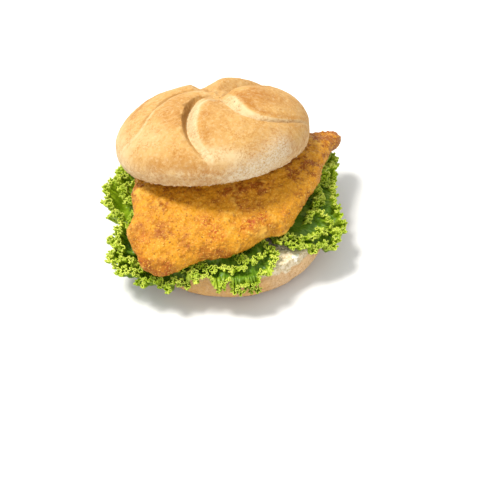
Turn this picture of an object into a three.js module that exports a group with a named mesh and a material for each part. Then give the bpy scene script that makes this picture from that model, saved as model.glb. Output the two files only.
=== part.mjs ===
// A schnitzel sandwich: a halved kaiser roll, an arched breaded schnitzel that reaches out past
// the roll at the right and at the front left, and leaves of curly lettuce under the schnitzel.
//
// Lengths are in millimetres and angles in degrees. X runs to the right, Y away from the front
// and Z up. The origin is the middle of the roll's flat base, which lies at Z 0.

import * as THREE from "three";

// ---------------------------------------------------------------- driving dimensions

// Bottom half of the roll, measured from its own axis.
const HEEL = {
  baseRadius: 42,
  radius: 55.2,
  widestHeight: 10,
  cutHeight: 21,
  cutRadius: 53.7,
  edgeRadius: 1.1,
  columns: 60,
  lowerSteps: 7,
  upperSteps: 4,
};

// Top half of the roll. Its cut face is a plane through (x, y, z) that leans back and a little
// to the left. Heights are measured from that plane, and the dome is a superellipse.
const CROWN = {
  x: -5.8,
  y: 22.6,
  z: 44,
  leanBack: 22,
  leanLeft: 3.4,
  cutRadius: 51.4,
  radius: 53.9,
  widestHeight: 8,
  height: 32.2,
  domePower: 2.5,
};

// The rosette: five grooves curl out from a pinched dimple. Each groove has the angles it passes
// at the dimple, at a third and at two thirds of the way out and at the rim, its full depth, the
// width of its steeper wall, and how far the petal after it is puffed up.
const ROSETTE = {
  offset: 5,
  dimpleDepth: 4.5,
  dimpleRadius: 9,
  wideWall: 8,
};
const GROOVES = [
  { angles: [-205, -144, -114, -88], depth: 5, steepWall: 3, rise: 1.6 },
  { angles: [-75, -71, -59, -12], depth: 3.6, steepWall: 3, rise: 1.6 },
  { angles: [0, 38, 48, 62], depth: 4, steepWall: 3, rise: 1.8 },
  { angles: [112, 116, 124, 140], depth: 4.6, steepWall: 12, rise: 0.6 },
  { angles: [132, 150, 188, 204], depth: 2.8, steepWall: 3, rise: 1.6 },
];
const PETAL_COLUMNS = [0, 0.05, 0.1, 0.16, 0.23, 0.35, 0.5, 0.65, 0.8, 0.88, 0.93, 0.97];
const DOME_RINGS = [0.05, 0.1, 0.17, 0.25, 0.34, 0.44, 0.54, 0.64, 0.74, 0.82, 0.89, 0.94, 0.975, 1];
const UNDER_RIM_HEIGHTS = [0, 0.8, 4];

// The schnitzel arches like a saddleless barrel: a ridge runs from left to right, turned a
// little, and the sheet falls off steeply across the ridge and gently along it.
const SCHNITZEL = {
  thickness: 10,
  edgeInset: 4.6,
  ridgeHeight: 49.6,
  ridgeY: -4,
  ridgeTurn: 15,
  acrossRadius: 63,
  alongRadius: 256,
  middle: [5, -6],
  clearance: 0.4,
  reliefHeight: 0.4,
  columns: 72,
};
const SCHNITZEL_OUTLINE = [
  [-51, 12], [-51.6, -12], [-51.5, -21.5], [-54.4, -29.5], [-51, -41.5], [-45.5, -50.5],
  [-38, -53.6], [-28, -51.6], [-17, -47.8], [-3, -46.2], [10, -41.8], [20, -35.8],
  [28, -34], [34, -28], [41, -17], [51, -2.5], [54.4, 11], [59.5, 24],
  [65, 34], [66, 43], [59, 46.2], [48, 41], [32, 42], [12, 41], [-10, 38], [-29, 31], [-44, 23],
];
const EDGE_ANGLES = [-90, -55, -20, 20, 55, 90];
const INNER_RINGS = [0.22, 0.45, 0.67, 0.86];

// Curly lettuce. Each leaf runs from a small arc inside the sandwich to a frilled margin, whose
// points are [x, y, height]. Leaves keep clear of the roll, the schnitzel and one another.
const LEAF = {
  thickness: 0.85,
  innerRadius: 17,
  rimRadius: 54.8,
  rollGap: 1.1,
  schnitzelGap: 1.9,
  shoulderWidth: 3.2,
  groundGap: 1.5,
  waveLength: 13,
  waveHeight: 4.6,
  waveReach: 1.8,
  waveFold: 1.3,
  foldShare: 0.4,
  sideGap: 2.2,
  columnPitch: 1.9,
};
const INNER_ROWS = [0, 0.45, 0.8, 1];
const OUTER_ROWS = [0.28, 0.52, 0.76, 1];
const LEAVES = {
  lettuce_left: [
    [-48, 49, 22], [-59, 42, 21], [-62, 30, 21], [-69, 25, 21], [-71.5, 13, 20], [-68.5, 2, 20],
    [-60, -5, 21],
  ],
  lettuce_front_left: [
    [-63, -14, 21], [-65, -24, 20], [-67, -33, 19], [-60, -40, 18], [-50, -45, 17],
    [-39, -50.5, 16], [-31, -52, 15], [-23, -50.5, 15],
  ],
  lettuce_front: [
    [-21.4, -51.5, 15], [-11, -54, 14], [0, -56, 13], [6, -57, 13], [13, -54.5, 14], [21, -50.5, 17],
    [28, -44, 24],
  ],
  lettuce_right: [
    [31, -43.5, 21], [41, -41, 20], [49, -35.5, 20], [56.5, -27, 20], [60.5, -16, 20],
    [59, -4, 21], [61, 10, 22],
  ],
  lettuce_right_back: [
    [61.5, 12.5, 22], [61.5, 20, 24], [64.5, 28, 23], [59, 37, 20], [49, 46, 18], [38, 53, 19],
  ],
  lettuce_back: [
    [35, 55, 19], [15, 61, 18], [-2, 63, 18], [-20, 60, 19], [-36, 55, 20], [-45, 51, 21],
  ],
};

// ---------------------------------------------------------------- materials

const MATERIALS = {
  crust: new THREE.MeshStandardMaterial({ color: 0xd9a561, roughness: 0.75, metalness: 0 }),
  breading: new THREE.MeshStandardMaterial({ color: 0xd0801c, roughness: 0.6, metalness: 0 }),
  leaf: new THREE.MeshStandardMaterial({ color: 0x7fb51c, roughness: 0.5, metalness: 0 }),
};

// ---------------------------------------------------------------- helpers

const radians = THREE.MathUtils.degToRad;

/** Cubic through four values at 0, 1/3, 2/3 and 1. */
function throughThirds([a, b, c, d], t) {
  const [p, q, r] = [t - 1 / 3, t - 2 / 3, t - 1];
  return -4.5 * a * p * q * r + 13.5 * b * t * q * r - 13.5 * c * t * p * r + 4.5 * d * t * p * q;
}

/** Shortest turn from one angle to another. */
function angleBetween(from, to) {
  return Math.atan2(Math.sin(to - from), Math.cos(to - from));
}

/** Slow unevenness between about -1 and 1 round a full turn, different for each seed. */
function waver(angle, seed) {
  const broad = Math.sin(2 * angle + seed);
  const narrow = Math.sin(3 * angle + 2.3 * seed);
  const fine = Math.sin(5 * angle + 4.1 * seed);
  return 0.5 * broad + 0.3 * narrow + 0.2 * fine;
}

/** Geometry from a list of points and a list of triangles of their indices. */
function geometryFrom(points, triangles) {
  const geometry = new THREE.BufferGeometry();
  geometry.setAttribute("position", new THREE.Float32BufferAttribute(points.flat(), 3));
  geometry.setIndex(triangles.flat());
  geometry.computeVertexNormals();
  return geometry;
}

/** Closed body from rings of equal length, lowest first, with a point that closes each end. */
function bodyOfRings(bottom, rings, top) {
  const count = rings[0].length;
  const points = [bottom, ...rings.flat(), top];
  const last = points.length - 1;
  const at = (ring, column) => 1 + ring * count + (column % count);
  const triangles = [];
  for (let column = 0; column < count; column += 1) {
    triangles.push([0, at(0, column + 1), at(0, column)]);
    triangles.push([at(rings.length - 1, column), at(rings.length - 1, column + 1), last]);
    for (let ring = 0; ring + 1 < rings.length; ring += 1) {
      triangles.push([at(ring, column), at(ring, column + 1), at(ring + 1, column + 1)]);
      triangles.push([at(ring, column), at(ring + 1, column + 1), at(ring + 1, column)]);
    }
  }
  return geometryFrom(points, triangles);
}

/** Mesh of a geometry, with its name and material. */
function named(name, geometry, material) {
  const mesh = new THREE.Mesh(geometry, material);
  mesh.name = name;
  return mesh;
}

// ---------------------------------------------------------------- roll, bottom half

/** Radius and height pairs of the heel's side, from the flat base up to the cut face. */
function heelProfile() {
  const profile = [];
  for (let step = 0; step <= HEEL.lowerSteps; step += 1) {
    const turn = (Math.PI / 2) * (step / HEEL.lowerSteps);
    const radius = HEEL.baseRadius + (HEEL.radius - HEEL.baseRadius) * Math.sin(turn);
    profile.push([radius, HEEL.widestHeight * (1 - Math.cos(turn))]);
  }
  const rise = HEEL.cutHeight - HEEL.edgeRadius - HEEL.widestHeight;
  for (let step = 1; step <= HEEL.upperSteps; step += 1) {
    const share = step / HEEL.upperSteps;
    const radius = HEEL.radius - (HEEL.radius - HEEL.cutRadius) * share ** 2;
    profile.push([radius, HEEL.widestHeight + rise * share]);
  }
  profile.push([HEEL.cutRadius - HEEL.edgeRadius, HEEL.cutHeight]);
  return profile;
}

/** Bottom half of the roll: flat base, rounded side, level cut face. */
function heelGeometry() {
  const unevenness = 0.011;
  const rings = heelProfile().map(([radius, height]) => {
    const ring = [];
    for (let column = 0; column < HEEL.columns; column += 1) {
      const angle = (2 * Math.PI * column) / HEEL.columns;
      const reach = radius * (1 + unevenness * (waver(angle, 1.7) - 0.6));
      ring.push([reach * Math.cos(angle), reach * Math.sin(angle), height]);
    }
    return ring;
  });
  return bodyOfRings([0, 0, 0], rings, [0, 0, HEEL.cutHeight]);
}

// ---------------------------------------------------------------- roll, top half

/** Height of the crown's cut plane above a point of the ground. */
function cutPlaneHeight(x, y) {
  const back = Math.tan(radians(CROWN.leanBack));
  const left = Math.tan(radians(CROWN.leanLeft));
  return CROWN.z + back * (CROWN.y - y) + left * (x - CROWN.x);
}

/** Rotation that stands the crown's own axis on its leaning cut plane. */
function crownRotation() {
  const back = Math.tan(radians(CROWN.leanBack));
  const left = Math.tan(radians(CROWN.leanLeft));
  const up = new THREE.Vector3(-left, back, 1).normalize();
  const right = new THREE.Vector3(0, 1, 0).cross(up).normalize();
  const away = new THREE.Vector3().crossVectors(up, right);
  return new THREE.Matrix4().makeBasis(right, away, up);
}

/** Distance from the rosette's middle to the crown's widest circle in one direction. */
function rimDistance(angle) {
  const aside = ROSETTE.offset * Math.sin(angle);
  return Math.sqrt(CROWN.radius ** 2 - aside ** 2) - ROSETTE.offset * Math.cos(angle);
}

/** Direction of a column of the crown: a share of the way from one groove to the next. */
function petalAngle(petal, share, out) {
  const next = (petal + 1) % GROOVES.length;
  const from = throughThirds(GROOVES[petal].angles, out);
  const turn = next === 0 ? 360 : 0;
  const to = throughThirds(GROOVES[next].angles, out) + turn;
  return radians(from + share * (to - from));
}

/** How far a groove's wall has risen, from 1 at its bottom to 0 at its lip. */
function grooveShape(distance, width) {
  return distance >= width ? 0 : 0.5 + 0.5 * Math.cos((Math.PI * distance) / width);
}

/** Height of the crown's relief over its plain dome: puffed petals, grooves and dimple. */
function crownRelief(petal, share, out, reach) {
  const next = (petal + 1) % GROOVES.length;
  const width = petalAngle(petal, 1, out) - petalAngle(petal, 0, out);
  const behind = share * width * reach;
  const ahead = (1 - share) * width * reach;
  const run = Math.sin(Math.PI * Math.min(1, out) ** 0.85) ** 0.7;
  const wide = GROOVES[petal].depth * grooveShape(behind, ROSETTE.wideWall);
  const steep = GROOVES[next].depth * grooveShape(ahead, GROOVES[next].steepWall);
  const dimple = ROSETTE.dimpleDepth * Math.exp(-((reach / ROSETTE.dimpleRadius) ** 2));
  const rise = GROOVES[petal].rise * Math.sin(Math.PI * share) * run;
  return rise - run * Math.max(wide, steep) - dimple;
}

/** Point of the crown's dome in its own frame, pushed in or out along the dome's normal. */
function domePoint(petal, share, out) {
  const angle = petalAngle(petal, share, out);
  const reach = out * rimDistance(angle);
  const across = ROSETTE.offset + reach * Math.cos(angle);
  const along = reach * Math.sin(angle);
  const rim = Math.min(1, Math.hypot(across, along) / CROWN.radius);
  const dome = CROWN.height - CROWN.widestHeight;
  const rise = Math.sqrt(Math.max(0, 1 - rim ** CROWN.domePower));
  const outward = (CROWN.domePower / CROWN.radius) * rim ** (CROWN.domePower - 1);
  const upward = (2 / dome) * rise;
  const relief = crownRelief(petal, share, out, reach) / Math.hypot(outward, upward);
  const spread = 1 + (relief * outward) / Math.max(1e-9, Math.hypot(across, along));
  const height = CROWN.widestHeight + dome * rise + relief * upward;
  return [across * spread, along * spread, height];
}

/** Ring of the crown under its widest circle, down to the cut face. */
function underRimRing(height) {
  const drop = (1 - height / CROWN.widestHeight) ** 2;
  const radius = CROWN.radius - (CROWN.radius - CROWN.cutRadius) * drop;
  return columnsOf((petal, share) => {
    const [x, y] = domePoint(petal, share, 1);
    const scale = radius / Math.hypot(x, y);
    return [x * scale, y * scale, height];
  });
}

/** One ring of points, made for every column of every petal. */
function columnsOf(point) {
  return GROOVES.flatMap((groove, petal) => PETAL_COLUMNS.map((share) => point(petal, share)));
}

/** Top half of the roll in its own frame, with its flat cut face at height 0. */
function crownGeometry() {
  const under = UNDER_RIM_HEIGHTS.map(underRimRing);
  const dome = [...DOME_RINGS].reverse().map((out) => {
    return columnsOf((petal, share) => domePoint(petal, share, out));
  });
  const tip = domePoint(0, 0, 0);
  return bodyOfRings([0, 0, 0], [...under, ...dome], tip);
}

/** Top half of the roll, leaning on the schnitzel. */
function crownMesh() {
  const mesh = named("bun_top", crownGeometry(), MATERIALS.crust);
  mesh.position.set(CROWN.x, CROWN.y, CROWN.z);
  mesh.quaternion.setFromRotationMatrix(crownRotation());
  return mesh;
}

// ---------------------------------------------------------------- schnitzel

/** Height of the schnitzel's arched upper face over a point of the ground. */
function archHeight(x, y) {
  const turn = radians(SCHNITZEL.ridgeTurn);
  const aside = y - SCHNITZEL.ridgeY;
  const along = x * Math.cos(turn) + aside * Math.sin(turn);
  const across = aside * Math.cos(turn) - x * Math.sin(turn);
  const fall = across ** 2 / (2 * SCHNITZEL.acrossRadius) + along ** 2 / (2 * SCHNITZEL.alongRadius);
  return SCHNITZEL.ridgeHeight - fall;
}

/** Low swells of the breading, between about -1 and 1. */
function swell(x, y) {
  const large = Math.sin(x / 6.7 + 1.3) * Math.sin(y / 5.9 + 0.4);
  const small = Math.sin((x + y) / 3.9 + 2) * Math.sin((x - 1.3 * y) / 4.6);
  return 0.6 * large + 0.4 * small;
}

/** Smooth closed curve of the schnitzel's plan. */
function schnitzelOutline() {
  const points = SCHNITZEL_OUTLINE.map(([x, y]) => new THREE.Vector3(x, y, 0));
  const curve = new THREE.CatmullRomCurve3(points, true, "catmullrom", 0.5);
  curve.arcLengthDivisions = 720;
  return curve;
}

/** Plan point of the outline's column, moved in from the edge along the outline's normal. */
function insetPoint(curve, column, inset) {
  const share = column / SCHNITZEL.columns;
  const point = curve.getPointAt(share);
  const tangent = curve.getTangentAt(share);
  return [point.x - tangent.y * inset, point.y + tangent.x * inset];
}

/** Point of the schnitzel: a plan position and a share of the half thickness, -1 to 1. */
function schnitzelPoint([x, y], share) {
  const half = SCHNITZEL.thickness / 2;
  const top = archHeight(x, y) + SCHNITZEL.reliefHeight * swell(x, y);
  const height = top - half + half * share;
  return [x, y, Math.min(height, cutPlaneHeight(x, y) - SCHNITZEL.clearance)];
}

/** The schnitzel: an arched sheet with rounded edges. */
function schnitzelGeometry() {
  const curve = schnitzelOutline();
  const [middleX, middleY] = SCHNITZEL.middle;
  const ring = (inset, scale, share) => {
    return Array.from({ length: SCHNITZEL.columns }, (_, column) => {
      const [x, y] = insetPoint(curve, column, inset);
      const plan = [middleX + (x - middleX) * scale, middleY + (y - middleY) * scale];
      return schnitzelPoint(plan, share);
    });
  };
  const edge = EDGE_ANGLES.map((angle) => {
    const turn = radians(angle);
    return ring(SCHNITZEL.edgeInset * (1 - Math.cos(turn)), 1, Math.sin(turn));
  });
  const under = INNER_RINGS.map((scale) => ring(SCHNITZEL.edgeInset, scale, -1));
  const over = [...INNER_RINGS].reverse().map((scale) => ring(SCHNITZEL.edgeInset, scale, 1));
  const middle = SCHNITZEL.middle;
  const rings = [...under, ...edge, ...over];
  return bodyOfRings(schnitzelPoint(middle, -1), rings, schnitzelPoint(middle, 1));
}

// ---------------------------------------------------------------- lettuce

/** Distance of a plan point from the schnitzel's outline, negative inside it. */
function outlineDistance(polygon, x, y) {
  let inside = false;
  let nearest = Infinity;
  polygon.forEach((end, index) => {
    const start = polygon[(index + polygon.length - 1) % polygon.length];
    const [dx, dy] = [end.x - start.x, end.y - start.y];
    const along = ((x - start.x) * dx + (y - start.y) * dy) / (dx * dx + dy * dy);
    const share = THREE.MathUtils.clamp(along, 0, 1);
    nearest = Math.min(nearest, Math.hypot(start.x + share * dx - x, start.y + share * dy - y));
    const crosses = start.y > y !== end.y > y;
    if (crosses && x < start.x + ((y - start.y) / dy) * dx) {
      inside = !inside;
    }
  });
  return inside ? -nearest : nearest;
}

/** Lowest height that a leaf may have at a distance from the roll's axis. */
function leafFloor(radius) {
  const onRoll = HEEL.cutHeight + LEAF.rollGap;
  const past = Math.max(0, radius - LEAF.rimRadius) / LEAF.shoulderWidth;
  return Math.max(LEAF.groundGap, onRoll * (1 - past ** 2));
}

/** Greatest height that a leaf may have: under the schnitzel, and free once well past it. */
function leafCeiling(polygon, x, y) {
  const past = Math.max(0, outlineDistance(polygon, x, y) - 1);
  const under = archHeight(x, y) - SCHNITZEL.thickness - LEAF.schnitzelGap;
  const crown = cutPlaneHeight(x, y) - LEAF.schnitzelGap;
  return Math.min(under + 1.3 * past, crown);
}

/** Plan place of a leaf point in polar form: a share along the margin and a row number. */
function leafPlan(leaf, share, row) {
  const margin = leaf.curve.getPointAt(share);
  const reach = Math.hypot(margin.x, margin.y);
  const rim = Math.min(LEAF.rimRadius, reach - 2) - LEAF.innerRadius;
  const inner = INNER_ROWS.length;
  const past = row < inner ? 0 : OUTER_ROWS[row - inner];
  const upToRim = row < inner ? INNER_ROWS[row] : 1;
  const radius = LEAF.innerRadius + rim * upToRim + (reach - LEAF.innerRadius - rim) * past;
  const out = (radius - LEAF.innerRadius) / (reach - LEAF.innerRadius);
  const inside = leaf.startAngle + (leaf.endAngle - leaf.startAngle) * share;
  const turn = angleBetween(inside, Math.atan2(margin.y, margin.x));
  return { radius, angle: inside + turn * out, out, past, margin };
}

/** Point of a leaf's middle surface: it folds between roll and schnitzel and waves at the margin. */
function leafPoint(leaf, share, row) {
  const { radius, angle, out, past, margin } = leafPlan(leaf, share, row);
  const drift = Math.sin(5 * share + leaf.phase) + out * Math.sin(9 * share + 2 * leaf.phase);
  const phase = leaf.phase + 2 * Math.PI * leaf.waves * share + drift;
  const wave = Math.sin(phase);
  const reach = radius + LEAF.waveReach * past * Math.cos(phase + 0.5);
  const along = angle + (LEAF.waveFold * past * Math.sin(2 * phase)) / reach;
  const [x, y] = [reach * Math.cos(along), reach * Math.sin(along)];
  const floor = leafFloor(reach);
  const ceiling = Math.max(floor, leafCeiling(leaf.polygon, x, y));
  const room = Math.min(ceiling - floor, 2 * LEAF.waveHeight);
  const blend = THREE.MathUtils.smoothstep(out, 0.62, 1);
  const inside = floor + room * (0.45 + LEAF.foldShare * wave);
  const outside = margin.z + LEAF.waveHeight * wave;
  const height = inside + (outside - inside) * blend;
  return [x, y, THREE.MathUtils.clamp(height, floor, ceiling)];
}

/** Everything a leaf's surface is worked out from. */
function leafForm(points, polygon, phase) {
  const curve = new THREE.CatmullRomCurve3(
    points.map(([x, y, z]) => new THREE.Vector3(x, y, z)), false, "catmullrom", 0.5);
  const [first, last] = [points[0], points[points.length - 1]];
  const gap = LEAF.sideGap / (2 * LEAF.innerRadius);
  const firstAngle = Math.atan2(first[1], first[0]);
  const spread = angleBetween(firstAngle, Math.atan2(last[1], last[0]));
  const [startAngle, endAngle] = [firstAngle + gap, firstAngle + spread - gap];
  const waves = Math.round(curve.getLength() / LEAF.waveLength);
  const columns = Math.round(curve.getLength() / LEAF.columnPitch);
  return { curve, startAngle, endAngle, waves, columns, phase, polygon };
}

/** Unit normal of a grid of points at one of them. */
function gridNormal(grid, row, column) {
  const clampRow = (value) => Math.min(grid.length - 1, Math.max(0, value));
  const clampColumn = (value) => Math.min(grid[0].length - 1, Math.max(0, value));
  const at = (r, c) => new THREE.Vector3(...grid[clampRow(r)][clampColumn(c)]);
  const outward = at(row + 1, column).sub(at(row - 1, column));
  const sideways = at(row, column + 1).sub(at(row, column - 1));
  return outward.cross(sideways).normalize();
}

/** Closed thin sheet round a grid of points, both faces split into triangles alike. */
function sheetGeometry(grid, thickness) {
  const [rows, columns] = [grid.length, grid[0].length];
  const side = (sign) => grid.flatMap((line, row) => line.map((point, column) => {
    const offset = gridNormal(grid, row, column).multiplyScalar((sign * thickness) / 2);
    return [point[0] + offset.x, point[1] + offset.y, point[2] + offset.z];
  }));
  const points = [...side(1), ...side(-1)];
  const at = (row, column, face) => face * rows * columns + row * columns + column;
  const triangles = [];
  for (let row = 0; row + 1 < rows; row += 1) {
    for (let column = 0; column + 1 < columns; column += 1) {
      const corners = (face) => [
        at(row, column, face), at(row + 1, column, face),
        at(row + 1, column + 1, face), at(row, column + 1, face),
      ];
      const [a, b, c, d] = corners(0);
      const [e, f, g, h] = corners(1);
      triangles.push([a, b, c], [a, c, d], [e, g, f], [e, h, g]);
    }
  }
  borderOf(rows, columns).forEach(([start, end]) => {
    const [a, b] = [at(...start, 0), at(...end, 0)];
    const [c, d] = [at(...start, 1), at(...end, 1)];
    triangles.push([a, d, b], [a, c, d]);
  });
  return geometryFrom(points, triangles);
}

/** Steps round a grid's border, in the order in which its upper face's triangles run. */
function borderOf(rows, columns) {
  const steps = [];
  for (let row = 0; row + 1 < rows; row += 1) {
    steps.push([[row, 0], [row + 1, 0]]);
    steps.push([[row + 1, columns - 1], [row, columns - 1]]);
  }
  for (let column = 0; column + 1 < columns; column += 1) {
    steps.push([[rows - 1, column], [rows - 1, column + 1]]);
    steps.push([[0, column + 1], [0, column]]);
  }
  return steps;
}

/** One curly leaf. */
function leafGeometry(points, polygon, phase) {
  const leaf = leafForm(points, polygon, phase);
  const rows = INNER_ROWS.length + OUTER_ROWS.length;
  const grid = Array.from({ length: rows }, (_, row) => {
    return Array.from({ length: leaf.columns + 1 }, (__, column) => {
      return leafPoint(leaf, column / leaf.columns, row);
    });
  });
  return sheetGeometry(grid, LEAF.thickness);
}

/** All leaves, in a ring round the sandwich. */
function lettuce() {
  const polygon = schnitzelOutline().getSpacedPoints(144).slice(1);
  return Object.entries(LEAVES).map(([name, points], index) => {
    return named(name, leafGeometry(points, polygon, 1.9 * index), MATERIALS.leaf);
  });
}

// ---------------------------------------------------------------- sandwich

const sandwich = new THREE.Group();
sandwich.name = "schnitzel_sandwich";
sandwich.add(named("bun_bottom", heelGeometry(), MATERIALS.crust));
sandwich.add(crownMesh());
sandwich.add(named("schnitzel", schnitzelGeometry(), MATERIALS.breading));
sandwich.add(...lettuce());

export default sandwich;
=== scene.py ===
"""Looks of a schnitzel sandwich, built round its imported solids.

A halved kaiser roll holds an arched breaded schnitzel and a ring of curly lettuce. Forms are worked
out in millimetres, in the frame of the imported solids, and written to the meshes in metres.
"""

import logging
import math
from dataclasses import dataclass
from enum import Enum

import bpy
import numpy as np
from mathutils import Matrix, Vector


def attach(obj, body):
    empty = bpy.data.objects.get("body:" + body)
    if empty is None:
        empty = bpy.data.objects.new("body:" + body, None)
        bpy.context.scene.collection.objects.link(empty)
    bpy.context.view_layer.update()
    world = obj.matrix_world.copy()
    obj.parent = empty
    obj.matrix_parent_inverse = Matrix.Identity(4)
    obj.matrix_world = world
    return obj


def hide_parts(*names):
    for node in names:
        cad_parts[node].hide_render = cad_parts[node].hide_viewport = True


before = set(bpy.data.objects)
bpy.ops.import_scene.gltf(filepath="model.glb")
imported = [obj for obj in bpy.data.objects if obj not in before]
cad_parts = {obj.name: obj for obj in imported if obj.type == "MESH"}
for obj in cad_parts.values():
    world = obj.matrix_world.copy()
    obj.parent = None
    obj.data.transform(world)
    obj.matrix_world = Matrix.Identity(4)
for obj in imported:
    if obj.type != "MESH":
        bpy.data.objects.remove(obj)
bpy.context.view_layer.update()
MM = 0.001
TABLE_SIZE = 4096
log = logging.getLogger("sandwich")

Array = np.ndarray
Piece = bpy.types.Object
Socket = bpy.types.NodeSocket
Colour = tuple[float, float, float]
Place = tuple[float, float, float]


class Slot(Enum):
    """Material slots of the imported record."""

    CRUST = "crust"
    BREADING = "breading"
    LEAF = "leaf"


# --- unevenness


def rise(value: Array, low: float, high: float) -> Array:
    """Smooth rise from 0 at low to 1 at high."""
    share = np.clip((value - low) / (high - low), 0, 1)
    return share * share * (3 - 2 * share)


def fall(value: Array, low: float, high: float) -> Array:
    """Smooth fall from 1 at low to 0 at high."""
    return 1 - rise(value, low, high)


def bell(distance: Array, width: float) -> Array:
    """1 at no distance, and about a third at a distance of one width."""
    return np.exp(-((distance / width) ** 2))


def random_table(seed: int) -> Array:
    """Random values between -1 and 1 that the lattices of a seed draw from."""
    return np.random.default_rng(seed).uniform(-1, 1, TABLE_SIZE)


def table_key(cell: Array) -> Array:
    """Place in a random table of each lattice cell."""
    mixed = cell[:, 0] * 73856093 ^ cell[:, 1] * 19349663 ^ cell[:, 2] * 83492791
    return mixed & (TABLE_SIZE - 1)


def lumps(seed: int, points: Array, size: float, detail: int = 1) -> Array:
    """Smooth random lumps that fill space, so that a form and its finish agree on them.

    Args:
        seed: seed of the random values.
        points: places in millimetres, one a row.
        size: width of a lump.
        detail: number of layers, each half as wide and half as high as the one before.

    Returns:
        A value between about -1 and 1 for each place.
    """
    table = random_table(seed)
    total = np.zeros(len(points))
    for layer in range(detail):
        place = points * (2**layer / size) + 19.7 * seed + 5.3 * layer
        cell = np.floor(place).astype(np.int64)
        share = place - cell
        share = share * share * share * (share * (share * 6 - 15) + 10)
        value = np.zeros(len(points))
        for corner in np.ndindex(2, 2, 2):
            step = np.array(corner)
            weight = np.where(step, share, 1 - share).prod(axis=1)
            value += weight * table[table_key(cell + step)]
        total += value / 2**layer
    return total


def grains(seed: int, points: Array, size: float) -> tuple[Array, Array]:
    """Random grains packed side by side.

    Args:
        seed: seed of the random values.
        points: places in millimetres, one a row.
        size: mean width of a grain.

    Returns:
        Distance from the nearest grain's middle in grain widths, and that grain's random value.
    """
    tables = [random_table(seed + 100 + axis) for axis in range(3)]
    table = random_table(seed)
    place = points / size + 7.1 * seed
    cell = np.floor(place).astype(np.int64)
    nearest = np.full(len(points), 9.0)
    value = np.zeros(len(points))
    for corner in np.ndindex(3, 3, 3):
        around = cell + np.array(corner) - 1
        key = table_key(around)
        middle = around + 0.5 + 0.42 * np.stack([t[key] for t in tables], axis=1)
        away = np.linalg.norm(place - middle, axis=1)
        closer = away < nearest
        nearest = np.where(closer, away, nearest)
        value = np.where(closer, table[key], value)
    return nearest, value


def run_along(path: Array) -> Array:
    """Distance run along a path at each of its points."""
    steps = np.linalg.norm(np.diff(path, axis=0), axis=1)
    return np.concatenate([[0], np.cumsum(steps)])


class Curve:
    """Smooth curve through pins."""

    def __init__(self, pins: Array, closed: bool = False) -> None:
        """Lays a fine path through the pins, one a row, and back to the first if closed."""
        if closed:
            ring = np.vstack([pins[-1:], pins, pins[:2]])
        else:
            ring = np.vstack([2 * pins[0] - pins[1], pins, 2 * pins[-1] - pins[-2]])
        spans = len(ring) - 3
        turn = np.linspace(0, spans, 60 * spans + 1)
        span = np.minimum(turn.astype(int), spans - 1)
        share = (turn - span)[:, None]
        a, b, c, d = (ring[span + step] for step in range(4))
        bend = (2 * a - 5 * b + 4 * c - d) + share * (3 * b - a - 3 * c + d)
        self.path = b + 0.5 * share * ((c - a) + share * bend)
        self.run = run_along(self.path)

    def at(self, shares: Array) -> Array:
        """Points at shares of its length."""
        wanted = shares * self.run[-1]
        return np.stack([np.interp(wanted, self.run, axis) for axis in self.path.T], axis=-1)

    def length(self) -> float:
        """Its length."""
        return float(run_along(self.at(np.linspace(0, 1, 400)))[-1])


# --- mesh work


def deselect() -> None:
    """Leaves nothing selected, so that the next operator acts on new work alone."""
    bpy.ops.object.select_all(action="DESELECT")


def read(items: bpy.types.bpy_prop_collection, name: str, width: int) -> Array:
    """Numbers that a mesh's items hold under a name, with one item a row."""
    flat = np.empty(len(items) * width, np.float32)
    items.foreach_get(name, flat)
    return flat.reshape(-1, width).astype(float)


def take_points(piece: Piece) -> Array:
    """Vertices of a piece in millimetres, one a row."""
    return read(piece.data.vertices, "co", 3) / MM


def take_normals(piece: Piece) -> Array:
    """Unit normals of a piece's vertices, one a row."""
    return read(piece.data.vertex_normals, "vector", 3)


def take_mark(piece: Piece, name: str) -> Array:
    """Numbers that a piece keeps under a name."""
    return read(piece.data.attributes[name].data, "value", 1)[:, 0]


def put_points(piece: Piece, points: Array) -> None:
    """Moves the vertices of a piece to places given in millimetres."""
    piece.data.vertices.foreach_set("co", (points * MM).astype(np.float32).ravel())
    piece.data.update()


def mark(piece: Piece, top: float = 1.0, **marks: Array) -> None:
    """Keeps numbers for each vertex, which the piece's finish reads by their names.

    Args:
        piece: the piece.
        top: greatest number that is kept; the least is 0.
        **marks: the numbers, under their names.
    """
    for name, values in marks.items():
        attribute = piece.data.attributes.get(name)
        attribute = attribute or piece.data.attributes.new(name, "FLOAT", "POINT")
        attribute.data.foreach_set("value", np.clip(values, 0, top).astype(np.float32))


def raise_relief(piece: Piece, heights: Array) -> None:
    """Lifts each vertex along its normal by a height in millimetres."""
    put_points(piece, take_points(piece) + take_normals(piece) * heights[:, None])


def sheet(name: str, columns: int, rows: int) -> tuple[Piece, Array, Array]:
    """A flat grid to be shaped.

    Args:
        name: name of the piece.
        columns: number of quads from side to side.
        rows: number of quads from end to end.

    Returns:
        The piece, and the column and the row of each of its vertices.
    """
    deselect()
    bpy.ops.mesh.primitive_grid_add(x_subdivisions=columns, y_subdivisions=rows, size=1)
    piece = bpy.context.object
    piece.name = piece.data.name = name
    order = np.arange(len(piece.data.vertices))
    return piece, order % (columns + 1), order // (columns + 1)


def close_wrap() -> None:
    """Joins the seam and the poles of the sheet at work, which was wrapped into a closed body."""
    bpy.ops.object.mode_set(mode="EDIT")
    bpy.ops.mesh.select_all(action="SELECT")
    bpy.ops.mesh.remove_doubles(threshold=2e-6)
    bpy.ops.mesh.dissolve_degenerate(threshold=1e-7)
    bpy.ops.mesh.normals_make_consistent(inside=False)
    bpy.ops.object.mode_set(mode="OBJECT")


def even_mesh(piece: Piece, size: float) -> None:
    """Rebuilds a closed piece from even quads of the given size in millimetres."""
    piece.data.remesh_voxel_size = size * MM
    bpy.ops.object.voxel_remesh()


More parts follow.
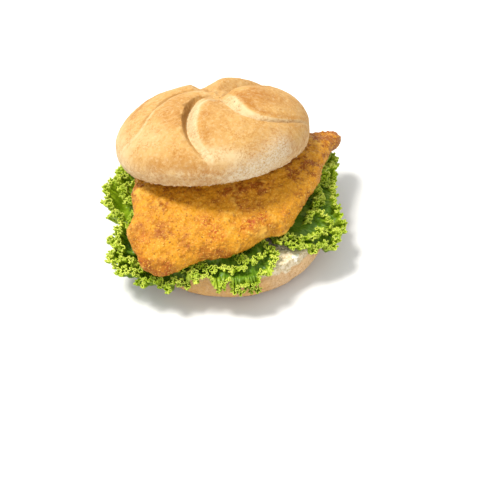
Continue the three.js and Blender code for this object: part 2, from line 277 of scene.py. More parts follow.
def modify(piece: Piece, kind: str, **settings: object) -> None:
    """Gives a piece a modifier of a kind, with its settings, and applies it."""
    modifier = piece.modifiers.new(kind.lower(), kind)
    for name, value in settings.items():
        setattr(modifier, name, value)
    bpy.context.view_layer.objects.active = piece
    bpy.ops.object.modifier_apply(modifier=modifier.name)


def skin_grain(piece: Piece, size: float, height: float) -> None:
    """Displaces a piece by fine grain, its width and height in millimetres."""
    texture = bpy.data.textures.new(f"{piece.name}_grain", "CLOUDS")
    texture.noise_scale = size * MM
    modify(piece, "DISPLACE", texture=texture, texture_coords="LOCAL", strength=height * MM)


def hand_over(piece: Piece, slot: Slot, material: bpy.types.Material, *nodes: str) -> Piece:
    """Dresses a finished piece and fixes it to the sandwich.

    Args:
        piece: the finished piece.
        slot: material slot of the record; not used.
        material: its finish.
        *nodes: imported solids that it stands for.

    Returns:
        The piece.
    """
    piece.data.materials.clear()
    piece.data.materials.append(material)
    piece.data.polygons.foreach_set("use_smooth", np.ones(len(piece.data.polygons), bool))
    piece.data.update()
    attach(piece, "root")
    if nodes:
        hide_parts(*nodes)
    log.info("%s: %d faces, for %s", piece.name, len(piece.data.polygons), nodes or "its own")
    return piece


# --- finishes


class NodeBench:
    """A material's node tree, with short ways to lay out its nodes."""

    def __init__(self, name: str, colour: Colour, roughness: float, specular: float = 0.5) -> None:
        """Starts a material whose surface is one Principled shader."""
        self.material = bpy.data.materials.new(name)
        self.material.use_nodes = True
        self.tree = self.material.node_tree
        self.tree.nodes.clear()
        self.surface = self.add("BsdfPrincipled", Roughness=roughness, Specular_IOR_Level=specular)
        self.output = self.add("OutputMaterial", Surface=self.surface.outputs["BSDF"])
        self.place = self.add("TexCoord").outputs["Object"]
        self.colour = colour

    def add(self, kind: str, **inputs: object) -> bpy.types.Node:
        """New node of a kind, with inputs given by name."""
        node = self.tree.nodes.new(f"ShaderNode{kind}")
        for name, value in inputs.items():
            self.feed(node.inputs[name.replace("_", " ")], value)
        return node

    def feed(self, target: Socket, value: object) -> None:
        """Gives a socket a link, a colour or a number."""
        if isinstance(value, Socket):
            self.tree.links.new(value, target)
        elif isinstance(value, tuple):
            target.default_value = (*value, 1.0)
        else:
            target.default_value = value

    def marked(self, name: str) -> Socket:
        """The number that the mesh keeps for each vertex under a name."""
        node = self.add("Attribute")
        node.attribute_name = name
        return node.outputs["Fac"]

    def noise(self, size: float, detail: float, roughness: float) -> Socket:
        """Clouded value between 0 and 1, with clouds of a size in millimetres."""
        sizes = {"Scale": 1 / (size * MM), "Detail": detail, "Roughness": roughness}
        return self.add("TexNoise", Vector=self.place, **sizes).outputs["Fac"]

    def clouds(
        self, size: float, low: float, high: float, detail: float = 3.0, roughness: float = 0.55
    ) -> Socket:
        """Noise stretched so that low gives 0 and high gives 1."""
        noise = self.noise(size, detail, roughness)
        node = self.add("MapRange", From_Min=low, From_Max=high, Value=noise)
        node.interpolation_type = "SMOOTHSTEP"
        return node.outputs["Result"]

    def cells(self, size: float) -> Socket:
        """A value between 0 and 1 that differs from crumb to crumb of a size in millimetres."""
        return self.add("TexVoronoi", Scale=1 / (size * MM), Vector=self.place).outputs["Color"]

    def maths(self, kind: str, first: object, second: object) -> Socket:
        """Result of a Math node of the given kind, between 0 and 1."""
        node = self.add("Math")
        node.operation, node.use_clamp = kind, True
        self.feed(node.inputs[0], first)
        self.feed(node.inputs[1], second)
        return node.outputs[0]

    def plus(self, first: object, second: object) -> Socket:
        """Sum of two values."""
        return self.maths("ADD", first, second)

    def times(self, first: object, second: object) -> Socket:
        """Product of two values."""
        return self.maths("MULTIPLY", first, second)

    def mix(self, share: object, first: object, second: object) -> Socket:
        """Colour mixed from two."""
        node = self.add("Mix")
        node.data_type = "RGBA"
        for place, value in ((0, share), (6, first), (7, second)):
            self.feed(node.inputs[place], value)
        return node.outputs[2]

    def tint(self, share: object, other: object) -> None:
        """Mixes a share of another colour into the colour so far."""
        self.colour = self.mix(share, self.colour, other)

    def finished(self, size: float, detail: float, roughness: float, depth: float) -> bpy.types.Material:
        """The material with the colour so far and fine relief of noise, its depth in millimetres."""
        self.feed(self.surface.inputs["Base Color"], self.colour)
        height = self.noise(size, detail, roughness)
        node = self.add("Bump", Distance=depth * MM, Height=height)
        self.feed(self.surface.inputs["Normal"], node.outputs["Normal"])
        return self.material


@dataclass(frozen=True)
class CrustFinish:
    """Baked wheat crust, floured here and there, and pale crumb where the roll was cut."""

    name: str
    golden: Colour = (0.53, 0.306, 0.095)
    brown: Colour = (0.37, 0.152, 0.022)
    pale: Colour = (0.64, 0.485, 0.265)
    floury: Colour = (0.64, 0.53, 0.37)
    burnt: Colour = (0.27, 0.125, 0.024)
    pore: Colour = (0.13, 0.06, 0.02)
    crumb: Colour = (0.74, 0.64, 0.46)
    crumb_shade: Colour = (0.52, 0.40, 0.21)

    def material(self) -> bpy.types.Material:
        """Colour follows the marks bake, pale, flour and crumb that the roll keeps; the crease mark
        paints shade, with some darker bake, on the grooves' steep walls, and the pit mark paints shade
        in the pores.
        """
        bench = NodeBench(self.name, self.golden, roughness=0.72, specular=0.2)
        bake, flour = bench.marked("bake"), bench.marked("flour")
        patch = bench.times(bench.clouds(5.0, 0.46, 0.72, 5, 0.7), 0.45)
        bench.tint(bench.plus(bake, patch), self.brown)
        bench.tint(bench.marked("pale"), self.pale)
        zone = bench.plus(bench.clouds(7.0, 0.35, 0.7, 2), bake)
        zone = bench.plus(zone, bench.times(flour, 2.0))
        speckle = bench.times(bench.clouds(1.3, 0.46, 0.60, 4, 0.85), zone)
        bench.tint(bench.times(speckle, 0.75), self.brown)
        bench.tint(bench.times(bench.clouds(1.7, 0.50, 0.74, 3, 0.7), 0.4), self.pale)
        # painted shade, with some darker bake, on the steep walls of the grooves
        bench.tint(bench.marked("crease"), self.burnt)
        bench.tint(bench.times(bench.clouds(0.9, 0.32, 0.62, 3, 0.7), flour), self.floury)
        # painted shade in the pores
        bench.tint(bench.marked("pit"), self.pore)
        crumb = bench.mix(bench.clouds(1.1, 0.36, 0.56, 3, 0.6), self.crumb_shade, self.crumb)
        stale = bench.times(bench.clouds(3.0, 0.48, 0.62, 4, 0.7), 0.45)
        bench.tint(bench.marked("crumb"), bench.mix(stale, crumb, self.crumb_shade))
        return bench.finished(0.7, 4, 0.7, depth=0.42)


@dataclass(frozen=True)
class BreadingFinish:
    """Fried breadcrumb coating with browned patches and dark specks; highlights are painted on its
    standing crumbs, glints are painted for its shine of fat, and shade is painted where the roll shades
    it.
    """

    golden: Colour = (0.60, 0.262, 0.010)
    light: Colour = (0.70, 0.39, 0.055)
    brown: Colour = (0.27, 0.078, 0.003)
    red: Colour = (0.34, 0.055, 0.004)
    speck: Colour = (0.05, 0.015, 0.003)

    def material(self) -> bpy.types.Material:
        """Colour follows the marks toast and red that the schnitzel keeps, toast with painted shade in
        it, and the peak mark, which paints highlight on the crumbs that stand up.
        """
        bench = NodeBench("fried_breading", self.golden, roughness=0.5, specular=0.2)
        cloud = bench.times(bench.clouds(4.0, 0.46, 0.66, 6, 0.75), 0.50)
        # real browning, with painted shade where the roll shades the breading
        toast = bench.plus(bench.marked("toast"), cloud)
        # painted highlight on the crumbs that stand up
        bench.tint(bench.marked("peak"), self.light)
        bench.tint(bench.plus(toast, bench.times(bench.cells(1.2), 0.22)), self.brown)
        mottle = bench.clouds(1.6, 0.40, 0.56, 4, 0.8)
        bench.tint(bench.times(bench.marked("red"), mottle), self.red)
        # painted glints
        bench.tint(bench.times(bench.clouds(0.9, 0.57, 0.68, 2), 0.75), self.light)
        bench.tint(bench.times(bench.clouds(1.1, 0.82, 0.86, 1), 0.6), self.speck)
        return bench.finished(0.5, 3, 0.6, depth=0.2)


@dataclass(frozen=True)
class LeafFinish:
    """Curly lettuce: deep green inside, bright yellow-green at the frills with painted highlights along
    their margins and crests, lit from behind.
    """

    inside: Colour = (0.115, 0.235, 0.012)
    frill: Colour = (0.42, 0.57, 0.018)
    tip: Colour = (0.82, 0.89, 0.13)
    glow: Colour = (0.74, 0.86, 0.02)
    rib: Colour = (0.56, 0.68, 0.10)
    see_through: float = 0.25

    def material(self) -> bpy.types.Material:
        """Colour follows the marks edge and rib that a leaf keeps, and the crest mark, which paints
        highlight along the margins and on the frills' crests; the edge mark also paints light on the
        leaves at the left.
        """
        bench = NodeBench("curly_lettuce", self.inside, roughness=0.32, specular=0.3)
        bench.tint(bench.marked("edge"), self.frill)
        # painted highlight along the margins and on the frills' crests
        bench.tint(bench.marked("crest"), self.tip)
        bench.tint(bench.marked("rib"), self.rib)
        bench.tint(bench.times(bench.clouds(2.4, 0.35, 0.7), 0.25), self.inside)
        bench.tint(bench.times(bench.clouds(11.0, 0.46, 0.64, 2), 0.2), self.inside)
        through = bench.add("BsdfTranslucent", Color=bench.mix(0.5, bench.colour, self.glow))
        both = bench.add("MixShader", Fac=self.see_through)
        bench.feed(both.inputs[1], bench.surface.outputs["BSDF"])
        bench.feed(both.inputs[2], through.outputs["BSDF"])
        bench.feed(bench.output.inputs["Surface"], both.outputs["Shader"])
        return bench.finished(0.8, 2, 0.55, depth=0.12)


@dataclass(frozen=True)
class CrumbFinish:
    """Loose crumbs, each with its own shade between two."""

    name: str
    light: Colour
    dark: Colour
    roughness: float

    def material(self) -> bpy.types.Material:
        """Colour follows the mark shade that each crumb keeps."""
        bench = NodeBench(self.name, self.light, self.roughness)
        bench.tint(bench.marked("shade"), self.dark)
        return bench.finished(0.3, 2, 0.55, depth=0.1)


@dataclass(frozen=True)
class SauceFinish:
    """Thin white dressing, glossy and slightly milky."""

    milky: Colour = (0.80, 0.77, 0.66)
    thin: Colour = (0.62, 0.55, 0.38)

    def material(self) -> bpy.types.Material:
        """Thinner and more yellow in clouds."""
        bench = NodeBench("white_dressing", self.milky, roughness=0.22)
        bench.tint(bench.clouds(2.0, 0.4, 0.7, 2), self.thin)
        return bench.finished(1.2, 2, 0.55, depth=0.15)


# --- roll


def pores(seed: int, points: Array, size: float, rarity: float, low: float, high: float) -> Array:
    """How deep the pores of bread are at each place, from 0 to 1.

    Args:
        seed: seed of the random values.
        points: places in millimetres, one a row.
        size: mean distance between grains that may be a pore.
        rarity: random value above which a grain is a pore.
        low: distance from its middle up to which a pore is at its deepest, in grain widths.
        high: distance at which it ends.

    Returns:
        The depth at each place.
    """
    away, value = grains(seed, points, size)
    return (value > rarity) * fall(away, low, high)


def keep_above_ground(piece: Piece) -> None:
    """Presses what lies under the ground up to it."""
    points = take_points(piece)
    points[:, 2] = np.maximum(points[:, 2], 0)
    put_points(piece, points)


@dataclass
class RollHeel:
    """Bottom half of the roll: flat baked base, rounded side, level cut face of open crumb."""

    base_radius: float = 42.0
    radius: float = 55.2
    widest_height: float = 10.0
    cut_height: float = 21.0
    cut_radius: float = 53.7
    edge_radius: float = 1.1
    unevenness: float = 0.011
    torn_angle: float = -54.0
    torn_spread: float = 20.0
    torn_depth: float = 4.6
    columns: int = 120
    lower_steps: int = 9
    upper_steps: int = 5
    mesh_size: float = 0.62
    finish: CrustFinish = CrustFinish(
        "heel_crust", (0.62, 0.345, 0.1), (0.42, 0.19, 0.038), (0.74, 0.53, 0.31), (0.5, 0.36, 0.22)
    )

    def profile(self) -> list[tuple[float, float]]:
        """Radius and height pairs of the side, from the base up to the cut face."""
        pairs = []
        for step in range(self.lower_steps + 1):
            turn = math.pi / 2 * step / self.lower_steps
            radius = self.base_radius + (self.radius - self.base_radius) * math.sin(turn)
            pairs.append((radius, self.widest_height * (1 - math.cos(turn))))
        climb = self.cut_height - self.edge_radius - self.widest_height
        for step in range(1, self.upper_steps + 1):
            share = step / self.upper_steps
            radius = self.radius - (self.radius - self.cut_radius) * share**2
            pairs.append((radius, self.widest_height + climb * share))
        pairs.append((self.cut_radius - 0.3 * self.edge_radius, self.cut_height - 0.3))
        pairs.append((self.cut_radius - self.edge_radius, self.cut_height))
        return pairs

    def side_radius(self, height: Array) -> Array:
        """Radius of the side at a height, before its unevenness."""
        pairs = np.array(self.profile())
        return np.interp(height, pairs[:, 1], pairs[:, 0])

    def turned_body(self) -> Piece:
        """Circle drawn up ring by ring through the profile and closed at both ends."""
        deselect()
        pairs = self.profile()
        radius, height = pairs[0]
        circle = {"vertices": self.columns, "radius": radius * MM, "fill_type": "NGON"}
        bpy.ops.mesh.primitive_circle_add(**circle)
        piece = bpy.context.object
        piece.name = piece.data.name = "roll_heel"
        bpy.ops.object.mode_set(mode="EDIT")
        bpy.ops.mesh.select_all(action="SELECT")
        for wider, higher in pairs[1:]:
            lift = {"value": (0, 0, (higher - height) * MM)}
            bpy.ops.mesh.extrude_region_move(TRANSFORM_OT_translate=lift)
            grow = wider / radius
            centre = (0, 0, higher * MM)
            bpy.ops.transform.resize(value=(grow, grow, 1), center_override=centre)
            radius, height = wider, higher
        bpy.ops.mesh.select_all(action="SELECT")
        bpy.ops.mesh.normals_make_consistent(inside=False)
        bpy.ops.object.mode_set(mode="OBJECT")
        return piece

    def shape(self, piece: Piece) -> None:
        """Slow wobble of the side, dimples of the dough and pores of the crumb."""
        points = take_points(piece)
        angle = np.arctan2(points[:, 1], points[:, 0])
        wobble = 0.5 * np.sin(2 * angle + 1.7) + 0.3 * np.sin(3 * angle + 3.91)
        wobble += 0.2 * np.sin(5 * angle + 6.97) - 0.6
        points[:, :2] *= (1 + self.unevenness * wobble)[:, None]
        put_points(piece, points)
        crumb = self.crumb_mark(points)
        holes = 0.9 * pores(5, points, 2.3, 0.1, 0.18, 0.46)
        holes += 0.35 * pores(6, points, 1.1, -0.2, 0.15, 0.45)
        torn = 0.30 * lumps(4, points, 1.6, 2) - holes
        relief = (1 - crumb) * 0.35 * lumps(3, points, 9.0, 3) + crumb * torn
        raise_relief(piece, fall(-points[:, 2], -0.9, -0.1) * relief)
        keep_above_ground(piece)

    def crumb_mark(self, points: Array) -> Array:
        """1 on the cut face and 0 on the crust, with a ragged line that dips where it tore."""
        angle = np.degrees(np.arctan2(points[:, 1], points[:, 0]))
        torn = bell(angle - self.torn_angle, self.torn_spread)
        ragged = (0.5 + 1.1 * torn) * lumps(8, points, 2.8, 2)
        line = self.cut_height - 1.1 - self.torn_depth * torn
        return rise(points[:, 2] + ragged, line, line + 0.8)

    def dress(self, piece: Piece) -> None:
        """Keeps where the crust is browned, pale, floured or cut open; the right front side, which lies
        in shade, is made paler, partly as its own pale crust and partly as painted light.
        """
        points = take_points(piece)
        patches = lumps(9, points, 14.0, 2)
        # right front side: paler, partly its own pale crust with orange streaks and partly painted light
        # on a side in shade
        right = bell(np.degrees(np.arctan2(points[:, 1], points[:, 0])) + 45, 34)
        streaks = lumps(7, points * (0.22, 0.22, 1.3), 2.0, 2)
        bake = 0.30 - 0.3 * right + 0.3 * patches + 2.2 * right * np.maximum(0, streaks)
        flour = 0.55 - 0.6 * right + 0.4 * patches
        mark(piece, 0.7, pale=0.15 + 0.55 * right + 0.2 * patches, flour=flour)
        mark(piece, bake=bake, crumb=self.crumb_mark(points), crease=0 * bake, pit=0 * bake)

    def build(self) -> None:
        """Builds, dresses and fixes the bottom half."""
        piece = self.turned_body()
        even_mesh(piece, self.mesh_size)
        self.shape(piece)
        skin_grain(piece, 0.9, 0.10)
        keep_above_ground(piece)
        self.dress(piece)
        hand_over(piece, Slot.CRUST, self.finish.material(), "bun_bottom")


@dataclass(frozen=True)
class Groove:
    """A groove of the rosette and the petal after it.

    The angles are those that it passes at the dimple, at a third and at two thirds of the way out
    and at the rim. The crease is how much shade is painted on its steep wall, with some darker
    bake, pale how pale its wide wall is, and the lip how brown the petal is where it turns over into
    that wide wall.
    """

    angles: tuple[float, float, float, float]
    depth: float
    steep_wall: float
    wide_wall: float
    puff: float
    # how much shade, with some darker bake, is painted on the steep wall
    crease: float
    crease_width: float
    pale: float
    lip: float

    def angle(self, out: Array) -> Array:
        """Its angle in degrees at a share of the way out."""
        a, b, c, d = self.angles
        p, q, r = out - 1 / 3, out - 2 / 3, out - 1
        inner = -4.5 * a * p * q * r + 13.5 * b * out * q * r
        return inner - 13.5 * c * out * p * r + 4.5 * d * out * p * q


@dataclass(frozen=True)
class Streak:
    """A browned streak of the crust, between two places in the dome's own frame."""

    start: Place
    end: Place
    width: float
    strength: float

    def share(self, own: Array) -> Array:
        """How much it browns each place."""
        start, step = np.array(self.start), np.subtract(self.end, self.start)
        along = np.clip((own - start) @ step / (step @ step), 0, 1)
        away = np.linalg.norm(own - start - along[:, None] * step, axis=1)
        return self.strength * bell(away, self.width)


@dataclass
class RollCrown:
    """Top half of the roll: a leaning dome with a rosette of five curled grooves."""

    middle: Place = (-5.8, 22.6, 44.0)
    lean_back: float = 22.0
    lean_left: float = 3.4
    cut_radius: float = 51.4
    radius: float = 53.9
    widest_height: float = 8.0
    height: float = 32.2
    dome_power: float = 2.5
    offset: float = 6.7
    dimple_depth: float = 2.8
    dimple_radius: float = 9.0
    grooves: tuple[Groove, ...] = (
        Groove((-216, -145, -118.5, -97), 4.2, 2.0, 9.5, 1.6, 0.9, 2.6, 1.0, 0.3),
        Groove((-100, -76, -62, -10), 3.2, 1.2, 7.4, 1.6, 0.5, 0.7, 1.0, 1.0),
        Groove((80, 55, 47, 50), 7.2, 5.0, 13.5, 2.2, 1.0, 1.7, 0.1, 0.0),
        Groove((108, 114, 108, 118), 4.3, 13.0, 10.0, 0.9, 0.6, 1.2, 0.1, 0.0),
        Groove((130, 153, 197, 199), 0.42, 3.0, 5.0, 1.2, 0.6, 2.4, 0.5, 0.0),
    )
    streaks: tuple[Streak, ...] = (
        Streak((-35, 17, 27), (-42, -4, 24), 3.0, 0.8),
        Streak((-31, -43, 13), (-2, -53, 11), 5.0, 0.5),
        Streak((4, -12, 31), (8, -23, 30), 3.5, 0.4),
        Streak((22, -8, 30), (43, -10, 21), 8.0, 0.5),
        Streak((0, -51, 17), (16, -51, 14), 4.0, -0.8),
        Streak((-34, -30, 23), (-30, -33, 22), 8.0, -0.3),
        Streak((-51, 4, 14), (-46, -26, 13), 8.0, -0.6),
    )
    floury: Streak = Streak((14, -52, 2), (38, -39, 11), 7.0, 1.0)
    petal_columns: int = 84
    dome_rows: int = 132
    side_rows: int = 12
    face_rows: int = 26

    def slopes(self) -> tuple[float, float]:
        """How steeply the cut plane rises to the front and to the right."""
        return math.tan(math.radians(self.lean_back)), math.tan(math.radians(self.lean_left))

    def plane_height(self, x: Array, y: Array) -> Array:
        """Height of the cut plane above points of the ground."""
        back, left = self.slopes()
        return self.middle[2] + back * (self.middle[1] - y) + left * (x - self.middle[0])

    def axes(self) -> Array:
        """Right, away and up directions of the leaning dome, one a row."""
        back, left = self.slopes()
        up = np.array([-left, back, 1.0])
        up /= np.linalg.norm(up)
        right = np.cross([0.0, 1.0, 0.0], up)
        right /= np.linalg.norm(right)
        return np.stack([right, np.cross(up, right), up])

    def own_frame(self, points: Array) -> Array:
        """Points in the dome's own frame."""
        return (points - np.array(self.middle)) @ self.axes().T

    def each(self, name: str) -> Array:
        """A measure of every groove in turn, and the first one's again."""
        return np.array([getattr(groove, name) for groove in (*self.grooves, self.grooves[0])])

    def petal_angle(self, petal: Array, share: Array, out: Array) -> Array:
        """Direction of a column in radians: a share of the way from one groove to the next."""
        lines = np.stack([groove.angle(out) for groove in self.grooves])
        lines = np.vstack([lines, lines[:1] + 360])
        column = np.arange(len(out))
        start, end = lines[petal, column], lines[petal + 1, column]
        return np.radians(start + share * (end - start))

    def relief(self, petal: Array, share: Array, out: Array, reach: Array) -> dict[str, Array]:
        """Height of puffed petals, grooves and dimple over the plain dome.

        Args:
            petal: number of the petal.
            share: share of the way from its groove to the next.
            out: share of the way from the dimple to the rim.
            reach: distance from the dimple.

        Returns:
            The height, the distances from the grooves behind and ahead, the width of the wide
            wall, and how much of the grooves is left there.
        """
        none = 0 * share
        width = self.petal_angle(petal, none + 1, out) - self.petal_angle(petal, none, out)
        behind, ahead = share * width * reach, (1 - share) * width * reach
        run = np.sin(math.pi * np.minimum(1, out) ** 0.85) ** 0.7 * rise(out, -0.12, 0.42)
        wide = self.each("wide_wall")[petal] * (1.4 - 0.9 * out)
        depth = self.each("depth")
        wall = depth[petal] * self.wall_shape(behind, wide)
        lip = depth[petal + 1] * self.wall_shape(ahead, self.each("steep_wall")[petal + 1])
        puff = self.each("puff")[petal] * np.sin(math.pi * share) * run
        turn = 9 * self.petal_angle(petal, share, out) + 0.1 * reach
        pinch = 0.7 * bell(reach - 8, 4.5) * np.cos(turn)
        dimple = self.dimple_depth * bell(reach, self.dimple_radius)
        height = puff - run * np.maximum(wall, lip) - dimple + pinch
        return {"height": height, "behind": behind, "ahead": ahead, "wide": wide, "run": run}

    @staticmethod
    def wall_shape(distance: Array, width: Array) -> Array:
        """How far a groove's wall is down, from 1 at its bottom to 0 at its lip."""
        return np.where(distance >= width, 0, 0.5 + 0.5 * np.cos(math.pi * distance / width))

    def dome(self, petal: Array, share: Array, out: Array) -> dict[str, Array]:
        """Points of the dome in its own frame, with what its marks are worked out from."""
        angle = self.petal_angle(petal, share, out)
        aside = self.offset * np.sin(angle)
        reach = out * (np.sqrt(self.radius**2 - aside**2) - self.offset * np.cos(angle))
        across = self.offset + reach * np.cos(angle)
        along = reach * np.sin(angle)
        spread = np.hypot(across, along)
        rim = np.minimum(1, spread / self.radius)
        tall = self.height - self.widest_height
        level = np.sqrt(np.maximum(0, 1 - rim**self.dome_power))
        outward = self.dome_power / self.radius * rim ** (self.dome_power - 1)
        upward = 2 / tall * level
        made = self.relief(petal, share, out, reach)
        relief = made["height"] / np.hypot(outward, upward)
        wider = 1 + relief * outward / np.maximum(1e-9, spread)
        height = self.widest_height + tall * level + relief * upward
        points = np.stack([across * wider, along * wider, height], axis=1)
        return {**made, "points": points, "reach": reach}

    def wrapped_body(self) -> Piece:
        """Sheet wrapped round the dome with its columns along the grooves, and closed."""
        face = np.linspace(0, 1, self.face_rows, endpoint=False)
        side = np.linspace(0, self.widest_height, self.side_rows, endpoint=False)
        height = np.concatenate([0 * face, side])
        drop = (1 - height / self.widest_height) ** 2
        under = self.radius - (self.radius - self.cut_radius) * drop
        under[: self.face_rows] = self.cut_radius * face
        turn = np.linspace(0, 1, self.dome_rows)
        dome = 1 - turn + 0.16 * np.sin(2 * math.pi * turn) / (2 * math.pi)
        out = np.concatenate([np.ones(len(height)), dome])
        count = self.petal_columns * len(self.grooves)
        piece, column, row = sheet("roll_crown", count, len(out) - 1)
        petal, place = np.divmod(column % count, self.petal_columns)
        even = place / self.petal_columns
        made = self.dome(petal, even - 0.085 * np.sin(2 * math.pi * even), out[row])
        points = made["points"]
        flat = row < len(height)
        radius = np.hypot(points[flat, 0], points[flat, 1])
        points[flat, :2] *= (under[row[flat]] / radius)[:, None]
        points[flat, 2] = height[row[flat]]
        put_points(piece, np.array(self.middle) + points @ self.axes())
        made["run"] = np.where(flat, 0, made["run"])
        self.keep_marks(piece, made, petal)
        close_wrap()
        return piece

    def keep_marks(self, piece: Piece, made: dict[str, Array], petal: Array) -> None:
        """Keeps where the grooves' pale walls and the petals' browned lips are, and the painted shade,
        with some darker bake, on the grooves' steep walls.
        """
        run, wide, width = made["run"], made["wide"], self.each("crease_width")[petal + 1]
        wall = self.each("pale")[petal] * fall(made["behind"] / wide, 0.75, 1.0)
        lip = self.each("lip")[petal] * bell(made["behind"] - wide - 2.2, 2.4)
        ragged = made["ahead"] + width * lumps(20, take_points(piece), 3.0, 2)
        # painted shade, with some darker bake, along each groove's steep wall
        crease = self.each("crease")[petal + 1] * fall(ragged, 0.6 * width, 1.4 * width)
        near = np.clip(made["reach"] / 6, 0, 1)
        mark(piece, pale=wall * run**0.5 * near, bake=lip * run, crease=crease * run**2)

    def shape(self, piece: Piece) -> None:
        """Lumps of the dough, torn rim of the cut and pores of the crumb."""
        points = take_points(piece)
        own = self.own_frame(points)
        crumb = self.crumb_mark(own)
        dough = 0.45 * lumps(13, points, 12.0, 2) + 0.16 * lumps(14, points, 2.6, 2)
        rim = bell(own[:, 2], 1.6) * (np.hypot(own[:, 0], own[:, 1]) > 46)
        torn = 0.35 * rim * lumps(15, points, 1.9, 2)
        # the pit mark paints shade in these pores of the pale groove walls
        pits = pores(19, points, 2.1, 0.72, 0.12, 0.32) * take_mark(piece, "pale")
        mark(piece, pit=pits)
        holes = 0.5 * pores(16, points, 1.6, -2.0, 0.1, 0.5)
        raise_relief(piece, (1 - crumb) * (dough - 0.9 * pits) + torn - crumb * holes)

    @staticmethod
    def crumb_mark(own: Array) -> Array:
        """1 on the cut face and 0 on the crust."""
        return fall(own[:, 2] + 0.15 * lumps(17, own, 1.8, 2), -0.1, 0.25)

    def dress(self, piece: Piece) -> None:
        """Adds the browned and floured patches to the marks of the grooves."""
        points = take_points(piece)
        own = self.own_frame(points)
        angle = np.degrees(np.arctan2(own[:, 1], own[:, 0]))
        low = rise(-own[:, 2], -14, -3)
        front = bell(angle + 105, 40) * low
        left = bell(np.abs(angle) - 175, 40) * low
        floury = self.floury.share(own)
        grain = (0.25 + 0.75 * low) * lumps(12, points, 1.5, 2)
        streaks = [streak.share(own) for streak in self.streaks]
        bake = 0.9 * take_mark(piece, "bake") + 0.04 + 0.36 * lumps(18, points, 15.0, 3)
        bake += 0.06 * front - 0.4 * left + sum(streaks) + 0.75 * np.maximum(0, grain)
        pale = 0.95 * take_mark(piece, "pale") + 0.5 * left + 0.25 * floury + 0.12 * low
        pale += sum(np.maximum(0, -streak) for streak in streaks) + np.maximum(0, -grain)
        mark(piece, bake=bake, pale=pale, flour=0.95 * floury + 0.25 * low)
        mark(piece, crumb=self.crumb_mark(own))

    def build(self) -> Piece:
        """Builds, dresses and fixes the top half."""
        piece = self.wrapped_body()
        self.shape(piece)
        skin_grain(piece, 0.8, 0.08)
        self.dress(piece)
        return hand_over(piece, Slot.CRUST, CrustFinish("crown_crust").material(), "bun_top")


# --- schnitzel


@dataclass(frozen=True)
class Spot:
    """A browned place of the breading, in plan."""

    x: float
    y: float
    size: float
    strength: float

    def share(self, points: Array) -> Array:
        """How much it browns each place."""
        away = np.hypot(points[:, 0] - self.x, points[:, 1] - self.y)
        return self.strength * bell(away, self.size)


